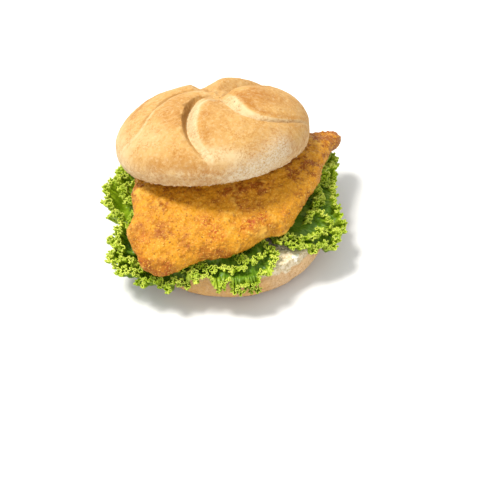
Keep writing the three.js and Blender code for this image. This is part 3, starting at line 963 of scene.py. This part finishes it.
@dataclass
class Schnitzel:
    """Breaded cutlet: an arched sheet with rounded edges and a coat of crumbs."""

    crown: RollCrown
    thickness: float = 10.0
    edge_inset: float = 4.6
    ridge_height: float = 49.6
    ridge_y: float = -4.0
    ridge_turn: float = 15.0
    across_radius: float = 63.0
    along_radius: float = 256.0
    middle: tuple[float, float] = (5.0, -6.0)
    clearance: float = 0.4
    columns: int = 216
    rings: int = 12
    mesh_size: float = 0.525
    pins: tuple[tuple[float, float], ...] = (
        (-51, 12), (-51.6, -12), (-51.5, -21.5), (-54.4, -29.5), (-51, -41.5), (-45.5, -50.5),
        (-38, -53.6), (-28, -51.6), (-17, -47.8), (-3, -46.2), (10, -41.8), (20, -35.8),
        (28, -34), (34, -28), (41, -17), (51, -2.5), (54.4, 11), (59.5, 24), (65, 34), (66, 43),
        (59, 46.2), (48, 41), (32, 42), (12, 41), (-10, 38), (-29, 31), (-44, 23),
    )  # fmt: skip
    toasted: tuple[Spot, ...] = (
        Spot(17.5, -22, 5.0, 0.7), Spot(15.6, -32, 3.4, 0.5), Spot(-44, -52, 6.0, 0.4),
        Spot(-34, -54, 5.0, 0.4), Spot(-14, -49, 4.5, 0.45), Spot(-8, -22, 7.0, 0.35),
        Spot(-30, -14, 7.0, 0.3), Spot(36, -9, 8.0, 0.4), Spot(48, 4, 7.0, 0.35),
        Spot(-46, -32, 4.0, 0.3), Spot(5, -43, 4.0, 0.3), Spot(56, 29, 10.0, 0.55),
    )  # fmt: skip
    reddened: tuple[Spot, ...] = (
        Spot(11.3, -33.5, 3.2, 0.9), Spot(17.3, -30.8, 3.0, 1.0), Spot(6.9, -36.1, 2.6, 0.6),
        Spot(-12.7, -32.7, 4.0, 0.7), Spot(-7.8, -38.0, 4.2, 0.7), Spot(-4.4, -40.9, 3.0, 0.5),
        Spot(-44.6, -37.5, 2.6, 0.6), Spot(-43.1, -40.3, 2.2, 0.5), Spot(-47.6, -46.2, 3.0, 0.4),
        Spot(-34.9, -53.4, 4.0, 0.35), Spot(-16.6, -51.6, 3.2, 0.4), Spot(29.7, -27.0, 2.6, 0.4),
    )  # fmt: skip

    def arch(self, x: Array, y: Array) -> Array:
        """Height of the arched upper face over points of the ground."""
        turn = math.radians(self.ridge_turn)
        aside = y - self.ridge_y
        along = x * math.cos(turn) + aside * math.sin(turn)
        across = aside * math.cos(turn) - x * math.sin(turn)
        drop = across**2 / (2 * self.across_radius) + along**2 / (2 * self.along_radius)
        return self.ridge_height - drop

    def outline(self, count: int) -> tuple[Array, Array]:
        """Even points of the plan's outline, and its outward direction at each."""
        curve = Curve(np.array(self.pins, float), closed=True)
        shares = np.arange(count) / count
        step = curve.at((shares + 1e-3) % 1) - curve.at((shares - 1e-3) % 1)
        step /= np.linalg.norm(step, axis=1)[:, None]
        return curve.at(shares), np.stack([step[:, 1], -step[:, 0]], axis=1)

    def distance(self, x: Array, y: Array) -> Array:
        """Distance of plan points from the outline, negative inside it."""
        ends = self.outline(144)[0]
        starts = np.roll(ends, 1, axis=0)
        step = ends - starts
        slope = step[:, 0] / np.where(step[:, 1] == 0, 1e-12, step[:, 1])
        made = []
        for part in np.array_split(np.stack([x, y], axis=1), max(1, len(x) // 4000)):
            away = part[:, None] - starts
            share = np.clip((away * step).sum(2) / (step**2).sum(1), 0, 1)
            nearest = np.linalg.norm(away - share[..., None] * step, axis=2).min(axis=1)
            above = (starts[:, 1] > part[:, 1:2]) != (ends[:, 1] > part[:, 1:2])
            left = part[:, :1] < starts[:, 0] + (part[:, 1:2] - starts[:, 1]) * slope
            inside = (above & left).sum(axis=1) % 2 == 1
            made.append(np.where(inside, -nearest, nearest))
        return np.concatenate(made)

    def wrapped_body(self) -> Piece:
        """Sheet wrapped round the cutlet from the middle of its underside to that of its top."""
        steps = np.radians(np.linspace(-90, 90, 13))
        full = np.ones(self.rings)
        inner = np.linspace(0, 1, self.rings, endpoint=False)
        inset = np.concatenate([full, 1 - np.cos(steps), full])
        scale = np.concatenate([inner, np.ones(13), inner[::-1]])
        level = np.concatenate([-full, np.sin(steps), full])
        piece, column, row = sheet("breaded_schnitzel", self.columns, len(scale) - 1)
        points, outward = (part[column % self.columns] for part in self.outline(self.columns))
        plan = points - outward * (self.edge_inset * inset[row])[:, None]
        middle = np.array(self.middle)
        plan = middle + (plan - middle) * scale[row][:, None]
        half = self.thickness / 2
        height = self.arch(*plan.T) - half + half * level[row]
        height = np.minimum(height, self.crown.plane_height(*plan.T) - self.clearance)
        put_points(piece, np.column_stack([plan, height]))
        close_wrap()
        return piece

    @staticmethod
    def crumb_relief(points: Array) -> Array:
        """Height of the coat: swells, clots and single crumbs."""
        height = 0.75 * lumps(21, points, 12.0, 2) + 0.52 * lumps(22, points, 3.8, 3)
        away, value = grains(23, points, 1.7)
        height += (0.26 + 0.26 * value) * fall(away, 0.15, 0.66)
        away, value = grains(24, points, 1.0)
        return height + (0.17 + 0.15 * value) * fall(away, 0.15, 0.6) - 0.3

    def shape(self, piece: Piece) -> None:
        """Raises the coat, presses it under the roll and keeps where its crumbs stand up, for their
        painted highlight.
        """
        height = self.crumb_relief(take_points(piece))
        mark(piece, peak=rise(height, 0.0, 0.9))
        raise_relief(piece, height)
        points = take_points(piece)
        lid = self.crown.plane_height(points[:, 0], points[:, 1]) - 0.15
        under = self.crown.own_frame(points)
        covered = np.hypot(under[:, 0], under[:, 1]) < self.crown.cut_radius + 0.5
        points[:, 2] = np.where(covered, np.minimum(points[:, 2], lid), points[:, 2])
        put_points(piece, points)

    def dress(self, piece: Piece) -> None:
        """Keeps where the breading is browned, and paints shade into the band that the roll shades."""
        points = take_points(piece)
        x, y, _ = points.T
        patches = lumps(26, points, 11.0, 3)
        edge = rise(self.distance(x, y), -6, 0)
        clots = lumps(27, points, 4.2, 3) + 0.6 * lumps(28, points, 1.5, 2)
        # the stronger mottle toward the back is painted shade in the band that the roll shades, over
        # real toasting
        toast = -0.12 + 0.5 * patches + 0.24 * edge + (0.2 + 0.75 * rise(y, -32, -8)) * clots
        toast += sum(spot.share(points) for spot in self.toasted)
        toast += 1.1 * bell(x - 60, 10) * bell(y - 32, 11)
        toast -= 0.5 * bell(x - 49, 9) * rise(-y, -24, -10) * edge
        red = np.max([spot.share(points) for spot in self.reddened], axis=0)
        mark(piece, toast=toast, red=1.3 * red + 0.25 * np.clip(patches, 0, 1))

    def build(self) -> Piece:
        """Builds, dresses and fixes the schnitzel."""
        piece = self.wrapped_body()
        even_mesh(piece, self.mesh_size)
        self.shape(piece)
        skin_grain(piece, 0.7, 0.14)
        self.dress(piece)
        return hand_over(piece, Slot.BREADING, BreadingFinish().material(), "schnitzel")


# --- lettuce


@dataclass(frozen=True)
class Tier:
    """One layer of a leaf: the leaf itself, or a lobe that is folded back over it."""

    start: float
    end: float
    inset: float
    lift: float
    turn: float
    rows: int
    columns: int


@dataclass(frozen=True)
class Ruffle:
    """A size of frill: its length along the leaf, its height and how far in it reaches."""

    length: float
    height: float
    depth: float
    overhang: float
    seed: int


def lay(x: Array, y: object = 0.0, z: object = 0.0) -> Array:
    """Places given by their coordinates, one a row."""
    return np.stack(np.broadcast_arrays(x, y, z), axis=1)


def directions(grid: Array) -> tuple[Array, ...]:
    """Unit normal, direction along the margin and direction out, of a grid of points."""
    out, along = np.gradient(grid, axis=0), np.gradient(grid, axis=1)
    made = (np.cross(out, along), along, out)
    return tuple(v / (np.linalg.norm(v, axis=2, keepdims=True) + 1e-9) for v in made)


@dataclass
class CurlyLeaf:
    """One leaf of curly lettuce, from a small arc inside the sandwich to a frilled margin."""

    side: str
    margin: tuple[Place, ...]
    phase: float
    heel: RollHeel
    crown: RollCrown
    schnitzel: Schnitzel
    inner_radius: float = 17.0
    rim_radius: float = 54.8
    roll_gap: float = 1.1
    schnitzel_gap: float = 1.9
    shoulder: float = 5.5
    ground_gap: float = 1.5
    wave_length: float = 12.0
    wave_height: float = 2.4
    wave_reach: float = 1.5
    side_gap: float = 1.0
    thickness: float = 0.4
    lip: float = 8.0
    lip_turn: float = 68.0
    tiers: tuple[Tier, ...] = (
        Tier(0.0, 1.0, 0.0, 0.5, 0.0, 28, 1100),
        Tier(0.0, 0.62, 6.5, 3.5, 2.4, 20, 430),
        Tier(0.42, 1.0, 12.5, 5.0, 4.3, 20, 360),
    )
    ruffles: tuple[Ruffle, ...] = (
        Ruffle(4.6, 1.7, 7.0, -0.26, 31),
        Ruffle(1.9, 0.75, 3.0, -0.16, 37),
    )

    def __post_init__(self) -> None:
        """Lays the curve of the margin."""
        self.curve = Curve(np.array(self.margin, float))
        self.length = self.curve.length()

    def floor(self, radius: Array) -> Array:
        """Lowest height that the leaf may have at a distance from the roll's axis."""
        past = np.maximum(0, radius - self.rim_radius) / self.shoulder
        return np.maximum(self.ground_gap, (self.heel.cut_height + self.roll_gap) * (1 - past**2))

    def ceiling(self, x: Array, y: Array) -> Array:
        """Greatest height that the leaf may have: under the schnitzel, and free past it."""
        past = np.maximum(0, self.schnitzel.distance(x, y) - 1)
        under = self.schnitzel.arch(x, y) - self.schnitzel.thickness - self.schnitzel_gap
        return np.minimum(under + 1.3 * past, self.crown.plane_height(x, y) - self.schnitzel_gap)

    def surface(self, tier: Tier, own: Array, depth: Array) -> tuple[Array, Array]:
        """Broad waves of the leaf.

        Args:
            tier: the layer.
            own: share of the way along the layer's part of the margin.
            depth: share of the way in from the margin to the inner arc.

        Returns:
            The points, and their distance in from the margin.
        """
        share = tier.start + (tier.end - tier.start) * own
        margin = self.curve.at(share)
        line = lay(share * self.length, 0, 90 * self.phase)
        corner = rise(np.minimum(own, 1 - own), 0, 0.11 / (tier.end - tier.start))
        straying = lumps(49, line + 7.0 * tier.turn, 16.0, 2)
        inset = tier.inset * (1 + 0.4 * straying) + 7 * (1 - corner)
        reach = np.hypot(margin[:, 0], margin[:, 1]) - inset
        inward = depth * (reach - self.inner_radius)
        bend = math.radians(self.lip_turn)
        turned = bend * np.maximum(0, 1 - inward / self.lip)
        level = self.lip * (math.sin(bend) - np.sin(turned)) / bend
        radius = reach - np.where(inward < self.lip, level, inward - self.lip + level)
        rim = np.minimum(self.rim_radius, reach - 2)
        past = np.maximum(0, radius - rim) / (reach - rim)
        first, last = (math.atan2(self.margin[end][1], self.margin[end][0]) for end in (0, -1))
        gap = self.side_gap / (2 * self.inner_radius)
        spread = math.remainder(last - first, 2 * math.pi) - 2 * gap
        inside = first + gap + spread * share
        toward = np.arctan2(margin[:, 1], margin[:, 0]) - inside
        out = 1 - depth
        angle = inside + np.arctan2(np.sin(toward), np.cos(toward)) * out
        waves = round(self.length / self.wave_length)
        drift = np.sin(5 * share + self.phase) + out * np.sin(9 * share + 2 * self.phase)
        phase = self.phase + tier.turn + 2 * math.pi * waves * share + drift
        strength = 1 + 0.5 * lumps(46, line, 11.0)
        swing = radius + self.wave_reach * strength * past * np.cos(phase + 0.5)
        along = angle - past * np.sin(2 * phase) / swing
        x, y = swing * np.cos(along), swing * np.sin(along)
        floor = self.floor(swing)
        ceiling = np.maximum(floor, self.ceiling(x, y))
        room = np.minimum(ceiling - floor, 2 * self.wave_height)
        crumple = lumps(47, lay(x, y, 60 * self.phase), 15.0, 3)
        low = floor + room * np.clip(0.38 + 0.42 * crumple, 0.04, 0.95)
        free = margin[:, 2] + tier.lift - 2 + self.wave_height * strength * np.sin(phase)
        height = np.clip(low + (free - low) * rise(out, 0.55, 1), floor, ceiling)
        return lay(x, y, height + self.lip * (1 - np.cos(turned)) / bend), inward

    def ruffled(self, grid: Array, inward: Array, ruffle: Ruffle) -> tuple[Array, Array]:
        """Grid with one more size of frill, and the frill's wave between -1 and 1."""
        normal, along, out = directions(grid)
        run = run_along(grid[-1])
        line = lay(run + 300 * self.phase)
        drift = lumps(ruffle.seed, line, 2.2 * ruffle.length)
        strength = 1 + 0.7 * lumps(ruffle.seed + 1, line, 1.6 * ruffle.length)
        bend = lumps(ruffle.seed + 2, grid.reshape(-1, 3), 2.0 * ruffle.length)
        phase = 2 * math.pi * run / ruffle.length + 3.2 * drift + 1.3 * bend.reshape(inward.shape)
        grow = fall(inward, 0, ruffle.depth) ** 0.8
        lift = np.sin(phase)[..., None] * normal
        lean = ruffle.overhang * np.sin(2 * phase)[..., None] * along
        scallop = 0.25 * np.cos(phase + 0.8)[..., None] * out
        size = (ruffle.height * grow * strength)[..., None]
        return grid + size * (lift + lean + scallop), grow * np.sin(phase)

    def blistered(self, grid: Array, inward: Array) -> Array:
        """Grid with blisters inside the margin."""
        blister = 1.3 * lumps(43, grid.reshape(-1, 3), 4.6, 2).reshape(inward.shape)
        return grid + (blister * rise(inward, 1, 6))[..., None] * directions(grid)[0]

    def toothed(self, grid: Array, inward: Array) -> Array:
        """Grid with small teeth along its margin."""
        line = lay(run_along(grid[-1]) + 500 * self.phase)
        tooth = 0.5 * lumps(41, line, 1.3) + 0.4 * lumps(42, line, 0.7)
        return grid + (fall(inward, 0, 2.4) * tooth)[..., None] * directions(grid)[2]

    @staticmethod
    def ribs(along: Array, inward: Array) -> Array:
        """Fine pale ribs that run out towards the margin."""
        line = lay(along + 0.6 * np.sin(inward / 3), inward / 9)
        rib = rise(1 - np.abs(lumps(44, line, 2.4)) * 5, 0, 1)
        return 0.32 * rib * rise(inward, 1.0, 4.5)

    def clear_of_rest(self, points: Array) -> Array:
        """Points kept off the roll, the schnitzel and the ground."""
        x, y, z = points.T
        distance = self.schnitzel.distance(x, y)
        depth = np.clip(-distance / self.schnitzel.edge_inset, 0, 1)
        half = self.schnitzel.thickness / 2
        under = self.schnitzel.arch(x, y) - half - half * np.sqrt(1 - (1 - depth) ** 2)
        z = np.minimum(z, under - 0.7 + 2.0 * np.maximum(0, distance - 0.4))
        own = self.crown.own_frame(lay(x, y, z))
        shaded = np.hypot(own[:, 0], own[:, 1]) < self.crown.radius + 0.8
        z = np.where(shaded, np.minimum(z, self.crown.plane_height(x, y) - 0.5), z)
        radius = np.hypot(x, y)
        on_roll = radius < self.heel.cut_radius - 0.4
        top = self.heel.cut_height + 0.45
        z = np.where(on_roll, np.maximum(z, top), z)
        side = self.heel.side_radius(np.clip(z, 0, self.heel.cut_height)) + 0.5
        grow = np.where(~on_roll & (z < top), np.maximum(radius, side) / radius, 1)
        return lay(x * grow, y * grow, np.maximum(z, 0.6))

    def layer(self, tier: Tier, index: int) -> Piece:
        """One layer of the leaf as a thin closed sheet, with its marks."""
        piece, column, row = sheet(f"{self.side}_{index}", tier.columns, tier.rows)
        share = column / tier.columns
        points, inward = self.surface(tier, share, (1 - row / tier.rows) ** 1.5)
        span = (tier.end - tier.start) * self.length
        mark(piece, rib=self.ribs(share * span, inward))
        inward = inward.reshape(tier.rows + 1, -1)
        grid = self.blistered(points.reshape(*inward.shape, 3), inward)
        crest = 0 * inward
        for ruffle in self.ruffles:
            grid, wave = self.ruffled(grid, inward, ruffle)
            crest += 0.5 * wave
        grid = self.toothed(grid, inward)
        points = grid.reshape(-1, 3)
        put_points(piece, self.clear_of_rest(points))
        # painted light: the leaves at the left, which face the key light, get more of the bright frill
        # colour
        lit = rise(-points[:, 0], 50, 62) * rise(points[:, 1], -16, -4)
        mark(piece, 1.3, edge=fall(inward, 0.3, 6.5).ravel() + 0.9 * lit)
        # painted highlight along the margin and on the ruffles' crests
        tip = (0.62 + 0.6 * lumps(48, points, 3.5, 2)) * fall(inward, 0.1, 1.3).ravel()
        mark(piece, crest=tip + 0.2 * crest.ravel())
        modify(piece, "SOLIDIFY", thickness=self.thickness * MM, offset=0)
        return piece

    def build(self, material: bpy.types.Material) -> None:
        """Builds the layers, joins them into one leaf and fixes it."""
        layers = [self.layer(tier, index) for index, tier in enumerate(self.tiers)]
        deselect()
        for layer in layers:
            layer.select_set(True)
        bpy.context.view_layer.objects.active = layers[0]
        bpy.ops.object.join()
        piece = bpy.context.object
        piece.name = piece.data.name = f"curly_leaf_{self.side}"
        hand_over(piece, Slot.LEAF, material, f"lettuce_{self.side}")


@dataclass
class Lettuce:
    """The ring of curly leaves between the bottom half of the roll and the schnitzel."""

    heel: RollHeel
    crown: RollCrown
    schnitzel: Schnitzel
    phase_step: float = 1.9
    margins: tuple[tuple[str, tuple[Place, ...]], ...] = (
        ("left", (
            (-48, 49, 22), (-59, 42, 21), (-62, 30, 21), (-68, 24, 21), (-70, 13, 20),
            (-66.5, 3, 20), (-63, -5, 20), (-57, -11, 21),
        )),
        ("front_left", (
            (-61, -13.5, 21), (-66, -18, 21), (-65, -26, 20), (-66, -34, 19), (-61, -41, 18),
            (-51.5, -47, 18), (-40, -52.5, 18), (-31, -54, 18), (-20, -54, 19),
        )),
        ("front", (
            (-25, -52, 20), (-11, -56, 18), (0, -58.5, 17.5), (6, -59, 17.5), (13, -57, 18),
            (19.5, -51.5, 19), (25.5, -43, 23),
        )),
        ("right", (
            (26, -37.5, 25), (35, -38.5, 23), (45, -37.5, 21), (54.5, -34, 20), (60, -24.5, 20),
            (60.5, -14, 20), (58.5, -4, 21), (59.5, 14, 22),
        )),
        ("right_back", (
            (59.5, 8.5, 22), (60, 20, 24), (61.5, 28, 23), (57, 37, 20), (48, 46, 18),
            (38, 53, 19),
        )),
        ("back", (
            (35, 55, 19), (15, 61, 18), (-2, 63, 18), (-20, 60, 19), (-36, 55, 20), (-45, 51, 21),
        )),
    )  # fmt: skip

    def build(self) -> None:
        """Builds every leaf."""
        material = LeafFinish().material()
        for index, (side, margin) in enumerate(self.margins):
            phase = self.phase_step * index
            CurlyLeaf(side, margin, phase, self.heel, self.crown, self.schnitzel).build(material)


# --- crumbs and dressing


def link(name: str, data: bpy.types.ID) -> Piece:
    """New object in the scene that shows the given data."""
    piece = bpy.data.objects.new(name, data)
    bpy.context.collection.objects.link(piece)
    return piece


@dataclass
class Crumbs:
    """Loose crumbs of one kind, copied from one knobbly grain and sunk a little where they lie."""

    name: str
    finish: CrumbFinish
    slot: Slot
    largest: float
    count: int
    seed: int
    smallest: float = 0.3

    def grain(self) -> tuple[Array, Array]:
        """Points and triangles of one knobbly grain of width 1."""
        deselect()
        bpy.ops.mesh.primitive_ico_sphere_add(subdivisions=2, radius=0.5)
        ball = bpy.context.object
        points = np.array([vertex.co for vertex in ball.data.vertices])
        corners = np.array([list(face.vertices) for face in ball.data.polygons])
        bpy.data.objects.remove(ball)
        return points * (1 + 0.5 * lumps(self.seed + 1, points, 0.4))[:, None], corners

    def scatter(self, base: Piece, allowed: Array) -> None:
        """Lays crumbs on a piece, each with its own size, turn and shade.

        Args:
            base: the piece.
            allowed: whether a crumb may lie at each of its vertices.
        """
        draw = np.random.default_rng(self.seed)
        chosen = draw.choice(np.flatnonzero(allowed), self.count, replace=False)
        draw = np.random.default_rng(self.seed + 1)
        points, corners = self.grain()
        turns = np.linalg.qr(draw.normal(size=(self.count, 3, 3)))[0]
        turns *= np.sign(np.linalg.det(turns))[:, None, None]
        sizes = draw.random(self.count) ** 2.2
        sizes = self.smallest + (self.largest - self.smallest) * sizes
        stretch = draw.uniform(0.45, 1.35, (self.count, 1, 3))
        cloud = (points[None] * stretch) @ turns * sizes[:, None, None]
        sunk = take_normals(base)[chosen] * (0.05 * sizes)[:, None]
        cloud += (take_points(base)[chosen] - sunk)[:, None]
        faces = corners[None] + (np.arange(self.count) * len(points))[:, None, None]
        mesh = bpy.data.meshes.new(self.name)
        mesh.from_pydata((cloud.reshape(-1, 3) * MM).tolist(), [], faces.reshape(-1, 3).tolist())
        piece = link(self.name, mesh)
        mark(piece, shade=np.repeat(draw.random(self.count), len(points)))
        hand_over(piece, self.slot, self.finish.material())


@dataclass
class Toppings:
    """Crumbs on the breading and along the torn rim, and the smear of dressing."""

    crown: RollCrown
    heel: RollHeel
    smear_angle: float = -50.5
    smear_width: float = 4.6
    smear_reach: float = 5.5
    smear_inward: float = 0.4
    smear_height: float = 0.9

    def breading_crumbs(self, coat: Piece) -> None:
        """Light crumbs that stand up from the breading where the roll leaves it free."""
        own = self.crown.own_frame(take_points(coat))
        free = np.hypot(own[:, 0], own[:, 1]) > self.crown.radius - 5
        finish = CrumbFinish("fried_crumb", (0.64, 0.33, 0.035), (0.30, 0.10, 0.006), 0.45)
        crumbs = Crumbs("breading_crumbs", finish, Slot.BREADING, 0.95, 1500, 51)
        crumbs.scatter(coat, free & (take_normals(coat)[:, 2] > -0.2))

    def rim_crumbs(self, bread: Piece) -> None:
        """Small torn crumbs along the cut rim of the roll's top half."""
        own = self.crown.own_frame(take_points(bread))
        rim = (own[:, 2] > -0.6) & (own[:, 2] < 1.0) & (np.hypot(own[:, 0], own[:, 1]) > 49.5)
        finish = CrumbFinish("torn_crumb", (0.58, 0.40, 0.19), (0.42, 0.22, 0.07), 0.8)
        Crumbs("rim_crumbs", finish, Slot.CRUST, 0.9, 260, 53).scatter(bread, rim)

    def smear(self) -> None:
        """Thin smear of dressing that has run over the edge of the cut face at the right front."""
        piece, column, row = sheet("dressing_smear", 48, 12)
        turn, out = 2 * math.pi * column / 48, row / 12
        lobes = out * (1 + 0.25 * np.sin(3 * turn + 1) + 0.12 * np.sin(7 * turn))
        along = self.smear_width / 2 * lobes * np.cos(turn)
        inward = self.smear_reach / 2 * lobes * np.sin(turn) + self.smear_inward
        wet = 0.7 * self.smear_height * np.sqrt(np.maximum(0, 1 - out**4))
        down = np.maximum(0, -inward)
        angle = math.radians(self.smear_angle) + along / self.heel.cut_radius
        radius = self.heel.cut_radius - np.maximum(0, inward) + 0.25 * down + wet - 0.5
        height = self.heel.cut_height - down + wet - 0.4
        put_points(piece, lay(radius * np.cos(angle), radius * np.sin(angle), height))
        close_wrap()
        modify(piece, "SOLIDIFY", thickness=0.5 * MM, offset=-1)
        hand_over(piece, Slot.CRUST, SauceFinish().material())


# --- studio


@dataclass
class Studio:
    """Pale floor, soft light and the camera at the photograph's angle."""

    target: Place = (9.785, -14.912, 0.0)
    distance: float = 650.0
    elevation: float = 48.0
    roll: float = 4.0
    lens: float = 83.137
    sun_strength: float = 3.9
    sun_spread: float = 16.0
    sun_from: Place = (-0.42, 0.16, 1.0)
    sun_colour: Colour = (1.0, 0.98, 0.94)
    fill_energy: float = 1.2
    fill_place: Place = (0.15, -0.9, 0.35)
    floor_colour: Colour = (0.68, 0.677, 0.67)

    def camera(self) -> None:
        """Camera that looks along +Y from above, rolled a little."""
        turn, tilt = math.radians(self.roll), math.radians(self.elevation)
        ahead = Vector((0, math.cos(tilt), -math.sin(tilt)))
        level = Vector((1, 0, 0))
        upright = level.cross(ahead)
        right = level * math.cos(turn) - upright * math.sin(turn)
        up = level * math.sin(turn) + upright * math.cos(turn)
        data = bpy.data.cameras.new("camera")
        data.lens = self.lens
        data.sensor_width = 36.0
        data.clip_start, data.clip_end = 0.01, 20.0
        place = (Vector(self.target) - ahead * self.distance) * MM
        camera = link("camera", data)
        turned = Matrix((right, up, -ahead)).transposed().to_4x4()
        camera.matrix_world = Matrix.Translation(place) @ turned
        bpy.context.scene.camera = camera

    @staticmethod
    def lamp(name: str, kind: str, energy: float, source: Place) -> Piece:
        """Lamp of a kind that shines from the side of a place towards the middle."""
        data = bpy.data.lights.new(name, kind)
        data.energy = energy
        lamp = link(name, data)
        lamp.rotation_euler = Vector(source).to_track_quat("Z", "Y").to_euler()
        return lamp

    def light(self) -> None:
        """A broad key light from the back left in a white room."""
        key = self.lamp("key", "SUN", self.sun_strength, self.sun_from)
        key.data.angle = math.radians(self.sun_spread)
        key.data.color = self.sun_colour
        fill = self.lamp("fill", "AREA", self.fill_energy, self.fill_place)
        fill.data.size = 0.9
        fill.location = self.fill_place
        world = bpy.data.worlds.new("room")
        world.use_nodes = True
        background = world.node_tree.nodes["Background"]
        background.inputs["Color"].default_value = (1.0, 1.0, 1.0, 1.0)
        background.inputs["Strength"].default_value = 1.0
        bpy.context.scene.world = world
        bpy.context.scene.view_settings.view_transform = "Standard"

    def floor(self) -> None:
        """Plain pale floor."""
        deselect()
        bpy.ops.mesh.primitive_plane_add(size=8.0, location=(0, 0, 0))
        floor = bpy.context.object
        floor.name = "floor"
        bench = NodeBench("pale_floor", self.floor_colour, roughness=0.8)
        bench.feed(bench.surface.inputs["Base Color"], bench.colour)
        floor.data.materials.append(bench.material)


def main() -> None:
    """Builds the studio and the sandwich from the bottom up."""
    logging.basicConfig(level=logging.INFO, format="%(message)s")
    studio = Studio()
    studio.camera()
    studio.light()
    studio.floor()
    heel, crown = RollHeel(), RollCrown()
    schnitzel = Schnitzel(crown)
    heel.build()
    Lettuce(heel, crown, schnitzel).build()
    coat = schnitzel.build()
    bread = crown.build()
    toppings = Toppings(crown, heel)
    toppings.breading_crumbs(coat)
    toppings.rim_crumbs(bread)
    toppings.smear()


if __name__ == "__main__":
    main()
